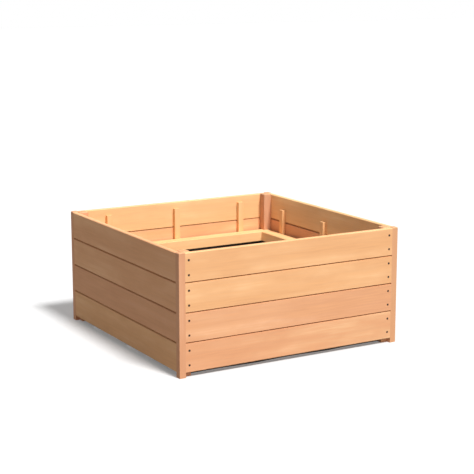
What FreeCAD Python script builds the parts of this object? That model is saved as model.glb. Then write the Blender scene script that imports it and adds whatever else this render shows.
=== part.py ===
import FreeCAD, Part
import os

import Sketcher

# Raised garden bed: four walls of horizontal boards, let into rebated corner posts.
# Millimetres, +Z up, origin on the ground under the middle of the bed, front wall at -Y.
# Every wall is drawn once as the front wall and turned about the middle of the bed.

os.makedirs("parts", exist_ok=True)
doc = FreeCAD.newDocument("RaisedGardenBed")

# Driving dimensions -----------------------------------------------------------------

SIZES = {
    # Wall boards
    "board_length": "1000",
    "board_height": "120",
    "board_thickness": "20",
    "board_gap": "2",
    "board_chamfer": "3",
    "ground_clearance": "20",
    # Corner posts
    "post_width": "60",
    "post_nose": "28",
    "post_rise": "2",
    "post_chamfer": "3",
    # Battens on the inner faces of the walls
    "batten_width": "28",
    "batten_depth": "18",
    "batten_chamfer": "1.5",
    "batten_inset": "150",
    "batten_ground": "30",
    "front_batten_drop": "30",
    "side_batten_drop": "60",
    # Inner frame
    "rail_width": "56",
    "rail_depth": "44",
    "rail_top": "332",
    "rail_chamfer": "2",
    # Liner
    "liner_wall": "1",
    "liner_drop": "8",
    "liner_ground": "4",
    # Countersunk board screws
    "screw_shank": "4",
    "screw_head": "8.5",
    "screw_point": "5",
    "screw_spread": "60",
    "screw_bite": "25",
    # Flat-headed frame screws, driven up from the underside of the rails
    "frame_screw_shank": "4.5",
    "frame_screw_head": "9",
    "frame_screw_cap": "2.5",
    "frame_screw_start": "24",
    "frame_screw_recess": "8",
    "frame_screw_bite": "13",
    "frame_screw_clearance": "0.5",
}

COURSES = 4
SCREWS_PER_BOARD_END = 2
BATTENS_PER_WALL = 3
FRAME_SCREW_ANGLE = 45.0
COUNTERSINK_ANGLE = 90.0
QUARTER_TURN = 90.0
HALF_TURN = 180.0
FULL_TURN = 360.0

sheet = doc.addObject("Spreadsheet::Sheet", "Dimensions")
for row, (alias, number) in enumerate(SIZES.items(), start=1):
    cell = "A%d" % row
    sheet.set(cell, number)
    sheet.setAlias(cell, alias)
doc.recompute()


def size(alias):
    return "Dimensions." + alias


# Sizes that follow from the ones above, all measured inwards from a wall's outer face.
HALF_WIDTH = "(Dimensions.board_length / 2 + Dimensions.post_nose)"
PITCH = "(Dimensions.board_height + Dimensions.board_gap)"
BATTEN_FACE = "(Dimensions.board_thickness + Dimensions.batten_depth)"
RAIL_FACE = "(" + BATTEN_FACE + " + Dimensions.liner_wall)"
RAIL_BACK = "(" + RAIL_FACE + " + Dimensions.rail_width)"
POST_SKIN = "(Dimensions.post_width + Dimensions.liner_wall)"
SCREW_INSET = "((Dimensions.post_nose + Dimensions.post_width) / 2)"
BOARD_SCREW_INSET = "(" + SCREW_INSET + " - Dimensions.post_nose)"
BOARD_TOP = "(Dimensions.ground_clearance + %d * %s - Dimensions.board_gap)" % (COURSES, PITCH)
FIRST_BOARD_MIDDLE = "(Dimensions.ground_clearance + Dimensions.board_height / 2)"
RAIL_BOTTOM = "(Dimensions.rail_top - Dimensions.rail_depth)"
SCREW_LENGTH = "(Dimensions.board_thickness + Dimensions.screw_bite)"
BATTEN_SPACING = "(Dimensions.board_length / 2 - Dimensions.batten_inset)"
PATTERN_LENGTH = "%d * %s" % (COURSES - 1, PITCH)

# Drawing helpers --------------------------------------------------------------------


def value(expression):
    return float(sheet.evalExpression(expression))


def new_body(label):
    body = doc.addObject("PartDesign::Body", label)
    body.Label = label
    return body


def origin_feature(body, role):
    return [item for item in body.Origin.OriginFeatures if item.Role == role][0]


def new_sketch(body, role):
    sketch = body.newObject("Sketcher::SketchObject", body.Label + "_sketch")
    sketch.AttachmentSupport = [(origin_feature(body, role), "")]
    sketch.MapMode = "FlatFace"
    return sketch


def tie_point(sketch, edge, end, across, up):
    """Hold one point of a sketch at two distances from the sketch's origin."""
    for kind, expression in (("DistanceX", across), ("DistanceY", up)):
        number = value(expression)
        constraint = Sketcher.Constraint(kind, -1, 1, edge, end, number)
        index = sketch.addConstraint(constraint)
        sketch.setExpression("Constraints[%d]" % index, expression)


def add_outline(sketch, corners):
    """A closed outline of straight edges through the named corners."""
    first = sketch.GeometryCount
    count = len(corners)
    points = [FreeCAD.Vector(value(across), value(up), 0) for across, up in corners]
    for step in range(count):
        edge = Part.LineSegment(points[step], points[(step + 1) % count])
        sketch.addGeometry(edge, False)
    for step in range(count):
        following = first + (step + 1) % count
        joint = Sketcher.Constraint("Coincident", first + step, 2, following, 1)
        sketch.addConstraint(joint)
    for step, (across, up) in enumerate(corners):
        tie_point(sketch, first + step, 1, across, up)


def add_circle(sketch, across, up, diameter):
    centre = FreeCAD.Vector(value(across), value(up), 0)
    circle = Part.Circle(centre, FreeCAD.Vector(0, 0, 1), value(diameter) / 2)
    edge = sketch.addGeometry(circle, False)
    index = sketch.addConstraint(Sketcher.Constraint("Diameter", edge, value(diameter)))
    sketch.setExpression("Constraints[%d]" % index, diameter)
    tie_point(sketch, edge, 3, across, up)


def add_pad(body, sketch, length):
    pad = body.newObject("PartDesign::Pad", body.Label + "_pad")
    pad.Profile = sketch
    pad.setExpression("Length", length)
    doc.recompute()
    return pad


def add_chamfer(body, base, chosen, width):
    chamfer = body.newObject("PartDesign::Chamfer", body.Label + "_chamfer")
    chamfer.Base = (base, chosen)
    chamfer.setExpression("Size", width)
    doc.recompute()
    return chamfer


def add_row(body, originals, role, length, count):
    """Repeat features in a straight row along one axis of the body."""
    row = body.newObject("PartDesign::LinearPattern", body.Label + "_row")
    row.Originals = originals
    row.Direction = (origin_feature(body, role), [""])
    row.setExpression("Length", length)
    row.Occurrences = count
    body.Tip = row
    doc.recompute()
    return row


def edges_along(shape, direction):
    """Names of the straight edges that run along a direction."""
    found = []
    for number, edge in enumerate(shape.Edges, start=1):
        run = edge.Vertexes[-1].Point - edge.Vertexes[0].Point
        if run.Length > 0 and abs(run.normalize().dot(direction)) > 0.999:
            found.append("Edge%d" % number)
    return found


def top_face(shape):
    heights = [face.CenterOfMass.z for face in shape.Faces]
    return "Face%d" % (heights.index(max(heights)) + 1)


def place(piece, turn, across, depth, height, facing=None):
    """Put a piece at its spot on the front wall, then turn the wall by quarter turns.

    across runs to the right along the wall and depth inwards from its outer face."""
    inwards = "(" + depth + " - " + HALF_WIDTH + ")"
    across = "(" + across + ")"
    corners = [
        (across, inwards),
        ("-" + inwards, across),
        ("-" + across, "-" + inwards),
        (inwards, "-" + across),
    ]
    upright = FreeCAD.Vector(0, 0, 1)
    rotation = FreeCAD.Rotation(upright, QUARTER_TURN * turn)
    if facing is not None:
        rotation = rotation.multiply(facing)
    piece.Placement = FreeCAD.Placement(FreeCAD.Vector(), rotation)
    piece.setExpression("Placement.Base.x", corners[turn][0])
    piece.setExpression("Placement.Base.y", corners[turn][1])
    piece.setExpression("Placement.Base.z", height)


FRONT, RIGHT, REAR, LEFT = range(4)
WALLS = {"front": FRONT, "right": RIGHT, "rear": REAR, "left": LEFT}
# The two walls that show screws, have the taller battens and carry the long rails.
FRONT_AND_REAR = ("front", "rear")
# The names of the two ends of each wall, at the negative and the positive end.
WALL_ENDS = {
    "front": ("left", "right"),
    "right": ("front", "rear"),
    "rear": ("right", "left"),
    "left": ("rear", "front"),
}

nodes = []

# Wall boards ------------------------------------------------------------------------
# Each is one planed board with its four long edges chamfered. The ends stay square and
# meet the noses of the posts. Boards of the front and rear walls have two countersunk
# holes at each end, over the middle of the post's rebate.


def drill_board(body):
    places = new_sketch(body, "XZ_Plane")
    far_end = size("board_length") + " - " + BOARD_SCREW_INSET
    for across in (BOARD_SCREW_INSET, far_end):
        for side in (" - ", " + "):
            up = size("board_height") + " / 2" + side + size("screw_spread") + " / 2"
            add_circle(places, across, up, size("screw_shank"))
    doc.recompute()
    hole = body.newObject("PartDesign::Hole", body.Label + "_holes")
    hole.Profile = places
    hole.ThreadType = "None"
    hole.DepthType = "ThroughAll"
    hole.HoleCutType = "Countersink"
    hole.HoleCutCustomValues = True
    hole.HoleCutCountersinkAngle = COUNTERSINK_ANGLE
    hole.setExpression("Diameter", size("screw_shank"))
    hole.setExpression("HoleCutDiameter", size("screw_head"))
    doc.recompute()


def make_board(label, wall, course):
    body = new_body(label)
    profile = new_sketch(body, "YZ_Plane")
    add_outline(profile, [
        ("0", "0"),
        (size("board_thickness"), "0"),
        (size("board_thickness"), size("board_height")),
        ("0", size("board_height")),
    ])
    pad = add_pad(body, profile, size("board_length"))
    long_edges = edges_along(pad.Shape, FreeCAD.Vector(1, 0, 0))
    add_chamfer(body, pad, long_edges, size("board_chamfer"))

    if wall in FRONT_AND_REAR:
        drill_board(body)

    start = "-" + size("board_length") + " / 2"
    height = size("ground_clearance") + " + %d * " % course + PITCH
    place(body, WALLS[wall], start, "0", height)
    nodes.append(body)


for wall in WALLS:
    for course in range(COURSES):
        make_board("%s_board_%d" % (wall, course + 1), wall, course)

# Corner posts -----------------------------------------------------------------------
# One length of square timber, rebated by the thickness of a board on both outer faces,
# so that a square nose stays at the corner, flush with the boards. The top edges are
# chamfered, and the land towards the front or rear wall has a pilot for every screw.


def make_post(label, turn):
    body = new_body(label)
    profile = new_sketch(body, "XY_Plane")
    add_outline(profile, [
        ("0", "0"),
        (size("post_nose"), "0"),
        (size("post_nose"), size("board_thickness")),
        (size("post_width"), size("board_thickness")),
        (size("post_width"), size("post_width")),
        (size("board_thickness"), size("post_width")),
        (size("board_thickness"), size("post_nose")),
        ("0", size("post_nose")),
    ])
    pad = add_pad(body, profile, BOARD_TOP + " + " + size("post_rise"))
    add_chamfer(body, pad, [top_face(pad.Shape)], size("post_chamfer"))

    # A post turned by a quarter has its screwed land along the other side.
    straight = turn in (FRONT, REAR)
    places = new_sketch(body, "XZ_Plane" if straight else "YZ_Plane")
    for side in (" - ", " + "):
        up = FIRST_BOARD_MIDDLE + side + size("screw_spread") + " / 2"
        add_circle(places, SCREW_INSET, up, size("screw_shank"))
    pilots = body.newObject("PartDesign::Pocket", label + "_pilots")
    pilots.Profile = places
    pilots.Reversed = not straight
    pilots.setExpression("Length", SCREW_LENGTH)
    doc.recompute()
    add_row(body, [pilots], "Z_Axis", PATTERN_LENGTH, COURSES)

    place(body, turn, "-" + HALF_WIDTH, "0", "0")
    nodes.append(body)


POSTS = {
    "post_front_left": FRONT,
    "post_front_right": RIGHT,
    "post_rear_right": REAR,
    "post_rear_left": LEFT,
}
for label, turn in POSTS.items():
    make_post(label, turn)

# Board screws -----------------------------------------------------------------------
# Countersunk wood screws, turned from one profile. Each group holds one end of a wall:
# two screws in every board, in the same places as the holes.


def make_board_screws(label, wall, end):
    body = new_body(label)
    body.AllowCompound = True
    profile = new_sketch(body, "XY_Plane")
    head_radius = size("screw_head") + " / 2"
    shank_radius = size("screw_shank") + " / 2"
    head_depth = "(" + head_radius + " - " + shank_radius + ")"
    add_outline(profile, [
        ("0", "0"),
        (head_radius, "0"),
        (shank_radius, head_depth),
        (shank_radius, SCREW_LENGTH + " - " + size("screw_point")),
        ("0", SCREW_LENGTH),
    ])
    turned = body.newObject("PartDesign::Revolution", label + "_turned")
    turned.Profile = profile
    turned.ReferenceAxis = (profile, ["V_Axis"])
    turned.Angle = FULL_TURN
    doc.recompute()

    both = body.newObject("PartDesign::MultiTransform", label + "_rows")
    both.Originals = [turned]
    steps = []
    for name, run, count in (
        ("_pair", size("screw_spread"), SCREWS_PER_BOARD_END),
        ("_courses", PATTERN_LENGTH, COURSES),
    ):
        step = body.newObject("PartDesign::LinearPattern", label + name)
        step.Direction = (origin_feature(body, "Z_Axis"), [""])
        step.setExpression("Length", run)
        step.Occurrences = count
        steps.append(step)
    both.Transformations = steps
    body.Tip = both

    across = "(" + HALF_WIDTH + " - " + SCREW_INSET + ")"
    if end == 0:
        across = "-" + across
    height = FIRST_BOARD_MIDDLE + " - " + size("screw_spread") + " / 2"
    place(body, WALLS[wall], across, "0", height)
    doc.recompute()
    nodes.append(body)


for wall in FRONT_AND_REAR:
    for end, name in enumerate(WALL_ENDS[wall]):
        make_board_screws("%s_screws_%s" % (wall, name), wall, end)

# Inner frame ------------------------------------------------------------------------
# Four rails lie flat against the battens with the liner caught behind them. The front
# and rear rails are notched round the corner posts, the side rails butt between them.
# Slanting counterbored holes in the underside take the screws into the battens.


def rail_outline(wall):
    if wall in FRONT_AND_REAR:
        reach = "(" + HALF_WIDTH + " - " + RAIL_FACE + ")"
        inner_reach = "(" + HALF_WIDTH + " - " + POST_SKIN + ")"
        notch = "(" + POST_SKIN + " - " + RAIL_FACE + ")"
        return [
            ("-" + inner_reach, "0"),
            (inner_reach, "0"),
            (inner_reach, notch),
            (reach, notch),
            (reach, size("rail_width")),
            ("-" + reach, size("rail_width")),
            ("-" + reach, notch),
            ("-" + inner_reach, notch),
        ]
    reach = "(" + HALF_WIDTH + " - " + RAIL_BACK + ")"
    return [
        ("-" + reach, "0"),
        (reach, "0"),
        (reach, size("rail_width")),
        ("-" + reach, size("rail_width")),
    ]


def make_rail(label, wall):
    body = new_body(label)
    profile = new_sketch(body, "XY_Plane")
    add_outline(profile, rail_outline(wall))
    pad = add_pad(body, profile, size("rail_depth"))
    add_chamfer(body, pad, [top_face(pad.Shape)], size("rail_chamfer"))

    # The holes start one head's width below the underside, clear of the timber.
    slanted = new_sketch(body, "XY_Plane")
    tilt = FreeCAD.Rotation(FreeCAD.Vector(1, 0, 0), FRAME_SCREW_ANGLE)
    slanted.AttachmentOffset = FreeCAD.Placement(FreeCAD.Vector(), tilt)
    back = size("frame_screw_head") + " * sin(%g)" % FRAME_SCREW_ANGLE
    start = size("frame_screw_start") + " + " + back
    slanted.setExpression("AttachmentOffset.Base.y", start)
    slanted.setExpression("AttachmentOffset.Base.z", "-" + back)
    for across in ("-" + BATTEN_SPACING, "0", BATTEN_SPACING):
        add_circle(slanted, across, "0", size("frame_screw_shank"))
    doc.recompute()
    hole = body.newObject("PartDesign::Hole", label + "_holes")
    hole.Profile = slanted
    hole.ThreadType = "None"
    hole.DepthType = "ThroughAll"
    hole.Reversed = True
    hole.HoleCutType = "Counterbore"
    hole.HoleCutCustomValues = True
    bore = size("frame_screw_head") + " + 2 * " + size("frame_screw_clearance")
    sunk = size("frame_screw_recess") + " + " + size("frame_screw_cap")
    hole.setExpression("Diameter", size("frame_screw_shank"))
    hole.setExpression("HoleCutDiameter", bore)
    hole.setExpression("HoleCutDepth", size("frame_screw_head") + " + " + sunk)
    place(body, WALLS[wall], "0", RAIL_FACE, RAIL_BOTTOM)
    doc.recompute()
    nodes.append(body)


for wall in WALLS:
    make_rail("frame_rail_" + wall, wall)

# Frame screws -----------------------------------------------------------------------
# Flat-headed screws, one at each batten, that slant up and outwards through the rail and
# the liner into the batten.


def make_frame_screws(label, wall):
    body = new_body(label)
    body.AllowCompound = True
    profile = new_sketch(body, "XY_Plane")
    across_run = RAIL_FACE + " - " + BATTEN_FACE
    reach = size("frame_screw_start") + " + " + across_run + " + " + size("frame_screw_bite")
    along = "(" + reach + ") / cos(%g)" % FRAME_SCREW_ANGLE
    length = "(" + along + " - " + size("frame_screw_recess") + ")"
    head_radius = size("frame_screw_head") + " / 2"
    shank_radius = size("frame_screw_shank") + " / 2"
    add_outline(profile, [
        ("0", "0"),
        (head_radius, "0"),
        (head_radius, size("frame_screw_cap")),
        (shank_radius, size("frame_screw_cap")),
        (shank_radius, length + " - " + size("screw_point")),
        ("0", length),
    ])
    turned = body.newObject("PartDesign::Revolution", label + "_turned")
    turned.Profile = profile
    turned.ReferenceAxis = (profile, ["V_Axis"])
    turned.Angle = FULL_TURN
    doc.recompute()
    add_row(body, [turned], "X_Axis", "2 * " + BATTEN_SPACING, BATTENS_PER_WALL)
    outwards = FreeCAD.Rotation(FreeCAD.Vector(1, 0, 0), HALF_TURN - FRAME_SCREW_ANGLE)
    drop = size("frame_screw_recess") + " * sin(%g)" % FRAME_SCREW_ANGLE
    depth = RAIL_FACE + " + " + size("frame_screw_start") + " - " + drop
    start = "-" + BATTEN_SPACING
    place(body, WALLS[wall], start, depth, RAIL_BOTTOM + " + " + drop, outwards)
    doc.recompute()
    nodes.append(body)
    return body


frame_screws = {}
for wall in WALLS:
    frame_screws[wall] = make_frame_screws("frame_screws_" + wall, wall)

# Wall battens -----------------------------------------------------------------------
# Upright battens tie the four boards of a wall together. The arrises that face into the
# bed are taken off. Those of the side walls stop lower than those of the front and rear.


def make_batten(label, wall, position):
    blank = new_body(label + "_blank")
    profile = new_sketch(blank, "XY_Plane")
    half = size("batten_width") + " / 2"
    narrow = "(" + half + " - " + size("batten_chamfer") + ")"
    shoulder = "(" + size("batten_depth") + " - " + size("batten_chamfer") + ")"
    add_outline(profile, [
        ("-" + half, "0"),
        (half, "0"),
        (half, shoulder),
        (narrow, size("batten_depth")),
        ("-" + narrow, size("batten_depth")),
        ("-" + half, shoulder),
    ])
    drop = size("front_batten_drop" if wall in FRONT_AND_REAR else "side_batten_drop")
    add_pad(blank, profile, BOARD_TOP + " - " + drop + " - " + size("batten_ground"))
    across = "%d * " % position + BATTEN_SPACING
    place(blank, WALLS[wall], across, size("board_thickness"), size("batten_ground"))
    drilled = doc.addObject("Part::Cut", label)
    drilled.Label = label
    drilled.Base = blank
    drilled.Tool = frame_screws[wall]
    doc.recompute()
    nodes.append(drilled)


for wall in WALLS:
    lower, upper = WALL_ENDS[wall]
    for position, name in ((-1, lower), (0, "centre"), (1, upper)):
        make_batten("%s_batten_%s" % (wall, name), wall, position)

# Liner ------------------------------------------------------------------------------
# An open sleeve of woven fabric. It lies on the battens, steps round the corner posts
# and hangs from the inner frame, a little below its top edge, almost to the ground.


def sleeve_outline(along_walls, round_posts):
    outer = "(" + HALF_WIDTH + " - " + along_walls + ")"
    inner = "(" + HALF_WIDTH + " - " + round_posts + ")"
    return [
        ("-" + outer, "-" + inner),
        ("-" + inner, "-" + inner),
        ("-" + inner, "-" + outer),
        (inner, "-" + outer),
        (inner, "-" + inner),
        (outer, "-" + inner),
        (outer, inner),
        (inner, inner),
        (inner, outer),
        ("-" + inner, outer),
        ("-" + inner, inner),
        ("-" + outer, inner),
    ]


sleeve = new_body("liner_sleeve")
sleeve_profile = new_sketch(sleeve, "XY_Plane")
add_outline(sleeve_profile, sleeve_outline(BATTEN_FACE, size("post_width")))
add_outline(sleeve_profile, sleeve_outline(RAIL_FACE, POST_SKIN))
liner_top = size("rail_top") + " - " + size("liner_drop")
add_pad(sleeve, sleeve_profile, liner_top + " - " + size("liner_ground"))
sleeve.setExpression("Placement.Base.z", size("liner_ground"))
liner = sleeve
for wall in WALLS:
    pierced = doc.addObject("Part::Cut", "liner_pierced_" + wall)
    pierced.Base = liner
    pierced.Tool = frame_screws[wall]
    liner = pierced
liner.Label = "liner"
doc.recompute()
nodes.append(liner)

# Checks and export ------------------------------------------------------------------

for item in doc.Objects:
    if "Invalid" in item.State or "Error" in item.State:
        raise RuntimeError(item.Label + " did not build")
for piece in nodes:
    if piece.Shape.isNull() or not piece.Shape.isValid():
        raise RuntimeError(piece.Label + " has no valid shape")

for piece in nodes:
    piece.Shape.exportStep("parts/" + piece.Label + ".step")
    solids = len(piece.Shape.Solids)
    print("%-22s %d solids %12.1f mm3" % (piece.Label, solids, piece.Shape.Volume))
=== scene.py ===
import math

import bmesh
import bpy
from mathutils import Matrix, Vector


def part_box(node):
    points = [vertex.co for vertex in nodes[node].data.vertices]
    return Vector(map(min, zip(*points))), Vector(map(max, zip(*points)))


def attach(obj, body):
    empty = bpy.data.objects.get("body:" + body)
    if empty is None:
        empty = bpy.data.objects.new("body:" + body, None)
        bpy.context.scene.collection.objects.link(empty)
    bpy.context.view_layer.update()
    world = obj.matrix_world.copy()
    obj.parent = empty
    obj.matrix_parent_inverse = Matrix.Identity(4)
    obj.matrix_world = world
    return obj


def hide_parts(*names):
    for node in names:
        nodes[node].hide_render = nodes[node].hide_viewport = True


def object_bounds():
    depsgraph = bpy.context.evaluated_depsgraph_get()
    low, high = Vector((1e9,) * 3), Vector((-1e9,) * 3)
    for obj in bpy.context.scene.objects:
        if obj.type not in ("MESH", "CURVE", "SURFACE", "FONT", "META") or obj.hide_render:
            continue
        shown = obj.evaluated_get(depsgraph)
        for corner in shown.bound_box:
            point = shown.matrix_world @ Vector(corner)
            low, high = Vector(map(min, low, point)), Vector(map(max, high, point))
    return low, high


# Raised garden bed of planed softwood boards, let into rebated corner posts.
# The frame gives every timber its place, and the sections below finish the pieces in the
# order in which the bed is put together.
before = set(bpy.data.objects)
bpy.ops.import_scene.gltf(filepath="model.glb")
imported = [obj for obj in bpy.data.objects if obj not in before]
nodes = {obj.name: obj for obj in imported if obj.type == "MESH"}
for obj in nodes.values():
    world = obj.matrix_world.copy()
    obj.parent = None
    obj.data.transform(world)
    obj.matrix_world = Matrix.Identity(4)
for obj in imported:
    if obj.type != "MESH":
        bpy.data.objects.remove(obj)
cad_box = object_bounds()


# Wall boards ---------------------------------------------------------------------------
# Planed softwood boards, four to a wall, lying in the rebates of the posts. Their long
# edges are chamfered, and the front and rear ones are screwed to the posts. Each comes
# from another plank, so each has its own tone, grain and drift of colour.

BOARD_HALF = 0.5                # the boards run half a metre each way from the middle
PATCHES = 9.0                   # cloudy patches per metre across the grain
STREAKS = 20.0                  # broad streaks per metre
GROWTH_LINES = 170.0            # fine growth lines per metre
FIBRES = GROWTH_LINES * 5
GRAIN_DRAWN_OUT = 0.040         # how slowly streaks, lines and fibres change along the grain
PATCHES_DRAWN_OUT = 0.35        # the same for the patches
CLOUDY_RANGE = (0.38, 0.62)     # the usual values of the noise for patches and streaks
LINE_RANGE = (0.36, 0.70)
FIBRE_RANGE = (0.30, 0.70)
PLANK_STEPS = ((1.37, 7), (2.11, 5), (0.73, 3))     # from one plank to the next
WANDER = 0.5                    # how far the drift of colour wanders along a board
PATCH_DEPTH = 0.85              # how strongly each part of the figure shows
STREAK_DEPTH = 0.85
LINE_DEPTH = 0.75
FIBRE_DEPTH = 0.16
END_DEPTH = 0.7
LATE_WOOD = (0.90, 0.80, 0.70)  # late wood against the tone of the board
DEEP_WOOD = (0.80, 0.69, 0.62)
# painted shade in the seams between boards, against the tone of the board
SEAM_SHADE_WOOD = (0.29, 0.15, 0.04)
# painted countersink shade and the stain of crushed fibres round a screw, against the tone
SCREW_STAIN_AND_SHADE = (0.16, 0.11, 0.08)
CHAMFER_GAIN = 2.8              # brings the measure of slant up to 1 on a chamfer
FACES_END_ON = 0.9
SCREW_SPREAD = 0.060            # between the two screws at one end of a board
STAIN_AND_SHADE_CORE = 0.0042             # stain and painted shade at full, as wide as the screw head
STAIN_AND_SHADE_REACH = 0.0058            # how far the stain and painted countersink shade reach
STAIN_AND_SHADE_DEPTH = 0.85
ALONG_X, ALONG_Y, ALONG_Z = 0, 1, 2


def new_material(name):
    """A material with its node tree and its shader, ready to be linked."""
    material = bpy.data.materials.new(name)
    material.use_nodes = True
    return material, material.node_tree, material.node_tree.nodes["Principled BSDF"]


def node_at(tree, kind, **sockets):
    """A shader node with its plain inputs set."""
    node = tree.nodes.new(kind)
    for name, value in sockets.items():
        node.inputs[name.replace("_", " ")].default_value = value
    return node


def math_of(tree, operation, *values):
    """One sum of two or three values, each a number or a socket."""
    node = tree.nodes.new("ShaderNodeMath")
    node.operation = operation
    for socket, value in zip(node.inputs, values):
        if isinstance(value, (int, float)):
            socket.default_value = value
        else:
            tree.links.new(value, socket)
    return node.outputs[0]


def mixed_colour(tree, factor, first, second):
    """A mix of two colours, each a colour or a socket."""
    node = tree.nodes.new("ShaderNodeMix")
    node.data_type = "RGBA"
    for index, value in ((0, factor), (6, first), (7, second)):
        if isinstance(value, (int, float, tuple)):
            node.inputs[index].default_value = value
        else:
            tree.links.new(value, node.inputs[index])
    return node.outputs[2]


def noise_of(tree, vector, scale, detail, low, high):
    """Noise stretched so that its usual values run from 0 at low to 1 at high."""
    noise = node_at(tree, "ShaderNodeTexNoise", Scale=scale, Detail=detail, Roughness=0.55)
    tree.links.new(vector, noise.inputs["Vector"])
    spread = node_at(tree, "ShaderNodeMapRange", From_Min=low, From_Max=high)
    tree.links.new(noise.outputs[0], spread.inputs["Value"])
    return spread.outputs[0]


def linear(red, green, blue):
    """A colour written as it looks on screen, 0 to 255, as the shader needs it."""
    parts = []
    for level in (red, green, blue):
        share = level / 255
        parts.append(share / 12.92 if share <= 0.04045 else ((share + 0.055) / 1.055) ** 2.4)
    return (*parts, 1.0)


def darker(colour, shares):
    """A colour with each of its three parts cut to a share."""
    return (*(part * share for part, share in zip(colour, shares)), 1.0)


def wood_figure(tree, place, along, plank):
    """Patches, streaks, growth lines and fibres, all drawn out along the grain."""
    shift = [plank * step % wrap for step, wrap in PLANK_STEPS]
    drawn = []
    for amount in (PATCHES_DRAWN_OUT, GRAIN_DRAWN_OUT):
        scale = [1.0, 1.0, 1.0]
        scale[along] = amount
        mapping = node_at(tree, "ShaderNodeMapping", Scale=scale, Location=shift)
        tree.links.new(place, mapping.inputs["Vector"])
        drawn.append(mapping.outputs[0])
    drift, grain = drawn
    return (
        noise_of(tree, drift, PATCHES, 3.0, *CLOUDY_RANGE),
        noise_of(tree, grain, STREAKS, 3.0, *CLOUDY_RANGE),
        noise_of(tree, grain, GROWTH_LINES, 2.0, *LINE_RANGE),
        noise_of(tree, grain, FIBRES, 2.0, *FIBRE_RANGE),
    )


def with_painted_seam_shade(tree, timber, upward, tone, above, below):
    """Chamfers are cut across the fibres. Painted shade darkens those in the seams between boards,
    deeper on those that look down.
    """
    # Painted shade on the seam chamfers: a mask of the slant, times the depth set for chamfers
    # looking up or down.
    steep = math_of(tree, "SUBTRACT", 1.0, math_of(tree, "MULTIPLY", upward, upward))
    steep = math_of(tree, "MULTIPLY", steep, CHAMFER_GAIN)
    slanted = math_of(tree, "MULTIPLY", math_of(tree, "ABSOLUTE", upward), steep)
    is_up = math_of(tree, "GREATER_THAN", upward, 0.0)
    dust_and_seam_shade = math_of(tree, "MULTIPLY_ADD", is_up, above - below, below)
    seam_shaded = math_of(tree, "MULTIPLY", slanted, dust_and_seam_shade)
    return mixed_colour(tree, seam_shaded, timber, darker(tone, SEAM_SHADE_WOOD))


def with_screw_stain_and_shade(tree, timber, place, tone, driven):
    """Painted shade of the countersink round a driven screw, with the stain of its crushed fibres.
    """
    from_end, middle, from_middle = driven
    off_x = math_of(tree, "ABSOLUTE", place[0])
    off_x = math_of(tree, "SUBTRACT", off_x, from_end)
    off_z = math_of(tree, "ABSOLUTE", math_of(tree, "SUBTRACT", place[2], middle))
    off_z = math_of(tree, "SUBTRACT", off_z, from_middle)
    squares = (math_of(tree, "MULTIPLY", off, off) for off in (off_x, off_z))
    away = math_of(tree, "SQRT", math_of(tree, "ADD", *squares))
    ring = node_at(
        tree,
        "ShaderNodeMapRange",
        From_Min=STAIN_AND_SHADE_REACH,
        From_Max=STAIN_AND_SHADE_CORE,
        To_Max=STAIN_AND_SHADE_DEPTH,
    )
    tree.links.new(away, ring.inputs["Value"])
    return mixed_colour(tree, ring.outputs[0], timber, darker(tone, SCREW_STAIN_AND_SHADE))


def planed_timber(
    name, tone, along, plank,
    far_tone=None, end_tone=None, figure=1.0, above=0.0, below=0.0, driven=None,
):
    """Planed softwood whose grain runs along one axis.

    tone drifts to far_tone at the far end, and end_tone is that of the sawn ends. plank
    picks the part of the log and figure how strongly it shows. above and below darken the
    chamfers that look up and down. driven is where its screws are: how far from the middle
    of the wall, the height half-way between two, and how far each is from that."""
    material, tree, shader = new_material(name)
    coordinates = tree.nodes.new("ShaderNodeTexCoord")
    place = tree.nodes.new("ShaderNodeSeparateXYZ")
    tree.links.new(coordinates.outputs["Object"], place.inputs[0])
    facing = tree.nodes.new("ShaderNodeSeparateXYZ")
    tree.links.new(coordinates.outputs["Normal"], facing.inputs[0])

    # The tone drifts from one end of the plank to the other, by a wandering line.
    patches, streaks, lines, fibres = wood_figure(tree, coordinates.outputs["Object"], along, plank)
    wander = math_of(tree, "MULTIPLY_ADD", patches, WANDER, -WANDER / 2)
    run = math_of(tree, "ADD", place.outputs[along], wander)
    share = node_at(tree, "ShaderNodeMapRange", From_Min=-BOARD_HALF, From_Max=BOARD_HALF)
    tree.links.new(run, share.inputs["Value"])
    timber = mixed_colour(tree, share.outputs[0], tone, far_tone or tone)

    late, deep = darker(tone, LATE_WOOD), darker(tone, DEEP_WOOD)
    for pattern, depth, wood in (
        (patches, PATCH_DEPTH * figure, deep),
        (streaks, STREAK_DEPTH * figure, deep),
        (lines, LINE_DEPTH * figure, late),
        (fibres, FIBRE_DEPTH, late),
    ):
        timber = mixed_colour(tree, math_of(tree, "MULTIPLY", pattern, depth), timber, wood)
    # Painted shade on the chamfers in the seams between boards.
    timber = with_painted_seam_shade(tree, timber, facing.outputs[2], tone, above, below)

    # Sawn ends show as a flat tone of their own.
    end_on = math_of(tree, "ABSOLUTE", facing.outputs[along])
    end_on = math_of(tree, "GREATER_THAN", end_on, FACES_END_ON)
    end_on = math_of(tree, "MULTIPLY", end_on, END_DEPTH)
    timber = mixed_colour(tree, end_on, timber, end_tone or late)
    if driven:
        # Painted countersink shade and a stain round each screw head.
        timber = with_screw_stain_and_shade(tree, timber, place.outputs, tone, driven)

    shader.inputs["Specular IOR Level"].default_value = 0.25
    tree.links.new(timber, shader.inputs["Base Color"])
    roughness = math_of(tree, "MULTIPLY_ADD", lines, -0.08, 0.70)
    tree.links.new(roughness, shader.inputs["Roughness"])
    bump = node_at(tree, "ShaderNodeBump", Strength=0.12, Distance=0.0006)
    tree.links.new(math_of(tree, "ADD", lines, fibres), bump.inputs["Height"])
    tree.links.new(bump.outputs["Normal"], shader.inputs["Normal"])
    return material


def finish_node(name, material):
    """Give a CAD node its own material in every slot."""
    mesh = nodes[name].data
    mesh.materials.clear()
    mesh.materials.append(material)


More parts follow.
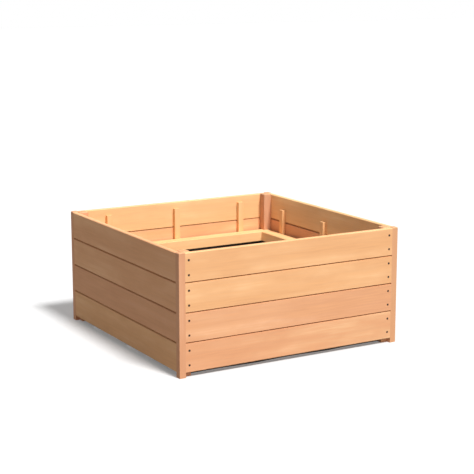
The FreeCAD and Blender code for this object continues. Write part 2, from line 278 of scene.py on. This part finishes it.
PALE = (255, 213, 160)
HONEY = (255, 203, 151)
PEACH = (253, 198, 151)
ROSE = (249, 193, 149)
CLAY = (246, 187, 144)
RUST = (228, 167, 129)
UMBER = (221, 177, 142)
BOARD_TONES = {
    "front": ((CLAY, PALE), (ROSE, RUST), (HONEY, HONEY), (HONEY, HONEY)),
    "rear": ((PEACH, ROSE), (ROSE, PEACH), (PEACH, HONEY), (PALE, PALE)),
    "left": ((HONEY, HONEY), (ROSE, PEACH), (PEACH, HONEY), (PEACH, HONEY)),
    "right": ((HONEY, PEACH), (PEACH, HONEY), (CLAY, UMBER), (PALE, PALE)),
}
BOARD_RUN = {"front": ALONG_X, "rear": ALONG_X, "left": ALONG_Y, "right": ALONG_Y}
# Painted shade in the seams between boards, stronger on the side walls, which stand in shade.
CHAMFER_SHADE = {"front": 0.42, "rear": 0.42, "left": 0.56, "right": 0.56}
DEEPER_BELOW = 0.2              # painted shade is deeper on a chamfer that looks down than on one that looks up
plank = 1
for wall, tones in BOARD_TONES.items():
    for course, (tone, far_tone) in enumerate(tones, start=1):
        board = "%s_board_%d" % (wall, course)
        shade = CHAMFER_SHADE[wall]
        grain = dict(along=BOARD_RUN[wall], plank=plank, far_tone=linear(*far_tone))
        grain["above"] = shade if course < len(tones) else 0.0
        grain["below"] = shade + DEEPER_BELOW if course > 1 else 0.0
        if wall in ("front", "rear"):
            low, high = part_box(board)
            screw_low, screw_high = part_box(wall + "_screws_right")
            from_end = abs(screw_low[0] + screw_high[0]) / 2
            grain["driven"] = (from_end, (low[2] + high[2]) / 2, SCREW_SPREAD / 2)
        finish_node(board, planed_timber(board, linear(*tone), **grain))
        plank += 1


# Corner posts --------------------------------------------------------------------------
# Square posts of redder timber with a rebate along both outer faces, so that the nose
# stays flush with the boards. The front and rear boards are screwed to them.

POST_TONES = {
    "front_left": (234, 175, 135),
    "front_right": (238, 185, 142),
    "rear_left": (239, 178, 138),
    "rear_right": (219, 170, 136),
}
POST_END = linear(211, 159, 111)
POST_FIGURE = 0.8
for corner, tone in POST_TONES.items():
    post = "post_" + corner
    grain = dict(along=ALONG_Z, plank=plank, end_tone=POST_END, figure=POST_FIGURE)
    finish_node(post, planed_timber(post, linear(*tone), **grain))
    plank += 1


# Wall battens --------------------------------------------------------------------------
# Upright battens, three to a wall, that tie the four boards of a wall together. They are
# cut from the same pale timber as the inner faces that they lie flat against.

BATTEN_TONE = linear(254, 206, 151)
BATTEN_END = linear(214, 166, 116)
BATTEN_FIGURE = 0.7
BATTEN_PLACES = {
    "front": ("left", "right", "centre"),
    "rear": ("left", "right", "centre"),
    "left": ("front", "rear", "centre"),
    "right": ("front", "rear", "centre"),
}
for wall, places in BATTEN_PLACES.items():
    for place in places:
        batten = "%s_batten_%s" % (wall, place)
        grain = dict(along=ALONG_Z, plank=plank, end_tone=BATTEN_END, figure=BATTEN_FIGURE)
        finish_node(batten, planed_timber(batten, BATTEN_TONE, **grain))
        plank += 1


# Inner frame ---------------------------------------------------------------------------
# Four flat rails of pale softwood that clamp the liner against the battens. They are
# notched round the posts and screwed up into the battens from below.

RAIL_TONE = linear(255, 209, 154)
RAIL_FIGURE = 0.8
for wall, along in BOARD_RUN.items():
    rail = "frame_rail_" + wall
    finish_node(rail, planed_timber(rail, RAIL_TONE, along, plank, figure=RAIL_FIGURE))
    plank += 1


# Screws --------------------------------------------------------------------------------
# Countersunk wood screws with a brown baked coating. Those of the walls are driven flush
# with the boards, and those of the frame are sunk in slanted pockets under the rails.

COATING_PATCHES = 900.0         # worn patches per metre

def coated_steel(name):
    """Baked dark brown screw coating, worn a little brighter in patches."""
    material, tree, shader = new_material(name)
    place = tree.nodes.new("ShaderNodeTexCoord").outputs["Object"]
    patches = noise_of(tree, place, COATING_PATCHES, 3.0, 0.35, 0.65)
    colour = mixed_colour(tree, patches, linear(20, 12, 8), linear(42, 27, 17))
    tree.links.new(colour, shader.inputs["Base Color"])
    roughness = math_of(tree, "MULTIPLY_ADD", patches, -0.12, 0.62)
    tree.links.new(roughness, shader.inputs["Roughness"])
    shader.inputs["Metallic"].default_value = 0.25
    return material


screw_coating = coated_steel("screw_coating")
for name in nodes:
    if "_screws_" in name:
        finish_node(name, screw_coating)


# Liner ---------------------------------------------------------------------------------
# Dark woven ground fabric, an open sleeve clamped between the rails and the battens. It
# steps round the posts, is pierced by the frame's screws, and below the rails it hangs
# loose and sags a little outwards between the battens.

LINER_THICKNESS = 0.0008
LINER_ALONG_WALL = 0.4895       # from the middle to the fabric along a wall
LINER_ROUND_POST = 0.4675       # the same where it steps round a post
LINER_CREASE = 0.0008           # how far a crease reaches where the fabric is held
LINER_FOLD = 0.010              # how far a free fold reaches below the rails
LINER_STEP = 0.011              # spacing of the mesh rows and columns
LINER_SAG = 0.007               # how far it sags out between two battens
UNEVEN = 0.0012                 # how much more or less it sags from place to place
WAVES_ALONG, WAVES_UP, WAVES_ON = 37.0, 9.0, 2.1
LOOSE_DEPTH = 0.09              # below the rails it takes this far to hang loose
BATTEN_REACH = 0.35             # from the middle batten to the ones beside it
BATTEN_HOLD = 0.020             # a batten keeps the fabric flat this far to each side
TOP_ROW = 0.006                 # the row of the mesh along the top edge
PIERCED_ROW = 0.012             # the row below it, where the frame's screws pass
PIERCED = 0.0055                # a hole reaches this far to each side of a screw
FOLD_POINTS = 4                 # points of the mesh round a fold
SAME_LINE = 1e-6
TAPES = 62.0                    # how close together the tapes of the weave are
DUST_PATCHES = 24.0
DUST_DEPTH = 0.30
box_low, box_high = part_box("liner")
liner_foot, liner_head = box_low[2], box_high[2]
clamp_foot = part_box("frame_rail_rear")[0][2]


def eased(share):
    """A share from 0 to 1 that starts and ends gently."""
    share = max(0.0, min(1.0, share))
    return share * share * (3 - 2 * share)


def folded_quarter(fold):
    """The fabric's line along one wall and round the next post, its free folds this wide."""
    wall, post = LINER_ALONG_WALL, LINER_ROUND_POST
    turns = (((post, -wall), fold), ((post, -post), LINER_CREASE), ((wall, -post), fold))
    line = []
    way = Vector((1, 0))
    last = Vector((-post, -wall))
    start = last + way * fold
    for (x, y), reach in turns:
        corner = Vector((x, y))
        stop = corner - way * reach
        count = max(1, round((corner - last).length / LINER_STEP))
        line += [start.lerp(stop, i / count) for i in range(count)]
        way = Vector((0, 1)) if way.x else Vector((1, 0))
        end = corner + way * reach
        for i in range(FOLD_POINTS):
            t = i / FOLD_POINTS
            line.append(stop * (1 - t) ** 2 + corner * 2 * t * (1 - t) + end * t * t)
        start, last = end, corner
    return line


def sagging(x, side, height):
    """How far outwards the fabric of a wall has moved at x, hanging loose."""
    off = abs(x) - BATTEN_REACH
    from_batten = min(abs(x), abs(off)) if off < 0 else 0.0
    free = eased((from_batten - BATTEN_HOLD) / (BATTEN_REACH / 2 - BATTEN_HOLD))
    waves = math.sin(WAVES_ALONG * x + WAVES_ON * side) * math.cos(WAVES_UP * height)
    return free * (LINER_SAG + UNEVEN * waves)


drop = liner_head - liner_foot - PIERCED_ROW - TOP_ROW
pierced_row = round(drop / LINER_STEP)
heights = [liner_foot + drop * row / pierced_row for row in range(pierced_row + 1)]
heights += [liner_head - TOP_ROW, liner_head]
shape = bmesh.new()
cloth_uv = shape.loops.layers.uv.new("cloth")
rings = []
for height in heights:
    loose = eased((clamp_foot - height) / LOOSE_DEPTH)
    quarter = folded_quarter(LINER_CREASE + (LINER_FOLD - LINER_CREASE) * loose)
    ring = []
    for side in range(4):
        turned = Matrix.Rotation(side * math.pi / 2, 2)
        for point in quarter:
            on_wall = abs(point.y + LINER_ALONG_WALL) < SAME_LINE
            out = sagging(point.x, side, height) * loose if on_wall else 0.0
            moved = turned @ Vector((point.x, point.y - out))
            ring.append(shape.verts.new((moved.x, moved.y, height)))
    rings.append(ring)
around = len(rings[-1])
run = [0.0]
for index, corner in enumerate(rings[-1]):
    run.append(run[-1] + (corner.co - rings[-1][(index + 1) % around].co).length)
for row, (lower, upper) in enumerate(zip(rings, rings[1:])):
    for index in range(around):
        after = (index + 1) % around
        middle = (lower[index].co + lower[after].co) / 2
        from_middle = min(abs(middle.x), abs(middle.y))
        if row == pierced_row and min(from_middle, abs(from_middle - BATTEN_REACH)) < PIERCED:
            continue
        face = shape.faces.new((lower[index], lower[after], upper[after], upper[index]))
        face.smooth = True
        spots = ((index, row), (index + 1, row), (index + 1, row + 1), (index, row + 1))
        for loop, (column, level) in zip(face.loops, spots):
            loop[cloth_uv].uv = (run[column], heights[level] - liner_foot)
liner_mesh = bpy.data.meshes.new("liner_fabric")
shape.to_mesh(liner_mesh)
shape.free()
liner_fabric = bpy.data.objects.new("liner_fabric", liner_mesh)
bpy.context.collection.objects.link(liner_fabric)
thick = liner_fabric.modifiers.new("thickness", "SOLIDIFY")
thick.thickness = LINER_THICKNESS
thick.offset = 0.0


def woven_fabric(name):
    """Flat tapes of dark plastic, woven, and dusty in patches."""
    material, tree, shader = new_material(name)
    shader.inputs["Roughness"].default_value = 0.55
    cloth = tree.nodes.new("ShaderNodeUVMap")
    cloth.uv_map = "cloth"
    tapes = []
    for direction in ("X", "Y"):
        tape = node_at(tree, "ShaderNodeTexWave", Scale=TAPES, Distortion=0.6, Detail=1.0)
        tape.bands_direction = direction
        tree.links.new(cloth.outputs[0], tape.inputs["Vector"])
        tapes.append(tape.outputs["Fac"])
    woven = math_of(tree, "MULTIPLY", *tapes)
    fabric = mixed_colour(tree, woven, linear(20, 12, 7), linear(44, 30, 20))
    dust_and_seam_shade = noise_of(tree, cloth.outputs[0], DUST_PATCHES, 4.0, 0.35, 0.75)
    dust_and_seam_shade = math_of(tree, "MULTIPLY", dust_and_seam_shade, DUST_DEPTH)
    fabric = mixed_colour(tree, dust_and_seam_shade, fabric, linear(54, 42, 32))
    tree.links.new(fabric, shader.inputs["Base Color"])
    bump = node_at(tree, "ShaderNodeBump", Strength=0.5, Distance=0.0004)
    tree.links.new(woven, bump.inputs["Height"])
    tree.links.new(bump.outputs["Normal"], shader.inputs["Normal"])
    return material


liner_mesh.materials.append(woven_fabric("woven_fabric"))
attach(liner_fabric, "root")
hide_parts("liner")


# Floor, light and camera ---------------------------------------------------------------
# White paper that lights the bed's inside more than its outside, one soft lamp from the
# front right and above, and a pale sky. The camera stands where the photograph was taken.

FLOOR_SIZE = 30.0
FLOOR_BOUNCE = 0.145            # what the paper reflects onto the outside of the bed
INNER_BOUNCE = 0.60             # the same inside the bed
FLOOR_WHITE = 0.60              # the paper as the camera sees it
FLOOR_GLOW = 0.17
SKY_LEVEL = 0.36                # light of the sky, which the camera sees as white
KEY_POWER = 4.4
KEY_SOFTNESS = math.radians(11)
KEY_FROM = Vector((0.107, -0.65, 1.0))
CAMERA_AT = (-2.8095, -4.8902, 1.5730)
CAMERA_AZIMUTH = math.radians(30.236)
CAMERA_PITCH = math.radians(11.498)
CAMERA_LENS = 98.756
CAMERA_SENSOR = 36.0


def directly_seen(tree):
    """1 where the camera looks at something, straight or by a mirror or a clear pane."""
    path = tree.nodes.new("ShaderNodeLightPath").outputs
    seen = math_of(tree, "MAXIMUM", path["Is Camera Ray"], path["Is Glossy Ray"])
    return math_of(tree, "MAXIMUM", seen, path["Is Transmission Ray"])


def grey(level):
    return (level, level, level, 1.0)


def white_paper(name):
    """Paper that looks white and reflects less onto the timber than it seems to."""
    material, tree, shader = new_material(name)
    shader.inputs["Roughness"].default_value = 0.9
    shader.inputs["Specular IOR Level"].default_value = 0.1
    spot = tree.nodes.new("ShaderNodeSeparateXYZ")
    place = tree.nodes.new("ShaderNodeTexCoord").outputs["Object"]
    tree.links.new(place, spot.inputs[0])
    off_x, off_y = (math_of(tree, "ABSOLUTE", spot.outputs[axis]) for axis in (0, 1))
    off = math_of(tree, "MAXIMUM", off_x, off_y)
    inside = math_of(tree, "LESS_THAN", off, cad_box[1][0])
    bounce = mixed_colour(tree, inside, grey(FLOOR_BOUNCE), grey(INNER_BOUNCE))
    seen = directly_seen(tree)
    colour = mixed_colour(tree, seen, bounce, grey(FLOOR_WHITE))
    tree.links.new(colour, shader.inputs["Base Color"])
    shader.inputs["Emission Color"].default_value = grey(1.0)
    glow = math_of(tree, "MULTIPLY", seen, FLOOR_GLOW)
    tree.links.new(glow, shader.inputs["Emission Strength"])
    return material


floor_mesh = bpy.data.meshes.new("floor")
shape = bmesh.new()
bmesh.ops.create_grid(shape, x_segments=1, y_segments=1, size=FLOOR_SIZE)
shape.to_mesh(floor_mesh)
shape.free()
floor_mesh.materials.append(white_paper("floor_paper"))
floor = bpy.data.objects.new("floor", floor_mesh)
bpy.context.collection.objects.link(floor)

world = bpy.data.worlds.new("sky")
bpy.context.scene.world = world
world.use_nodes = True
sky_tree = world.node_tree
sky = sky_tree.nodes["Background"]
sky.inputs["Color"].default_value = grey(1.0)
seen = directly_seen(sky_tree)
strength = math_of(sky_tree, "MULTIPLY_ADD", seen, 1.0 - SKY_LEVEL, SKY_LEVEL)
sky_tree.links.new(strength, sky.inputs["Strength"])

key = bpy.data.lights.new("key", "SUN")
key.energy = KEY_POWER
key.angle = KEY_SOFTNESS
key_lamp = bpy.data.objects.new("key", key)
bpy.context.collection.objects.link(key_lamp)
key_lamp.rotation_euler = KEY_FROM.to_track_quat("Z", "Y").to_euler()

camera_data = bpy.data.cameras.new("camera")
camera_data.lens = CAMERA_LENS
camera_data.sensor_width = CAMERA_SENSOR
camera = bpy.data.objects.new("camera", camera_data)
bpy.context.collection.objects.link(camera)
camera.location = CAMERA_AT
level_view = math.cos(CAMERA_PITCH)
view = Vector((
    math.sin(CAMERA_AZIMUTH) * level_view,
    math.cos(CAMERA_AZIMUTH) * level_view,
    -math.sin(CAMERA_PITCH),
))
camera.rotation_euler = view.to_track_quat("-Z", "Y").to_euler()
bpy.context.scene.camera = camera
bpy.context.scene.view_settings.view_transform = "Standard"
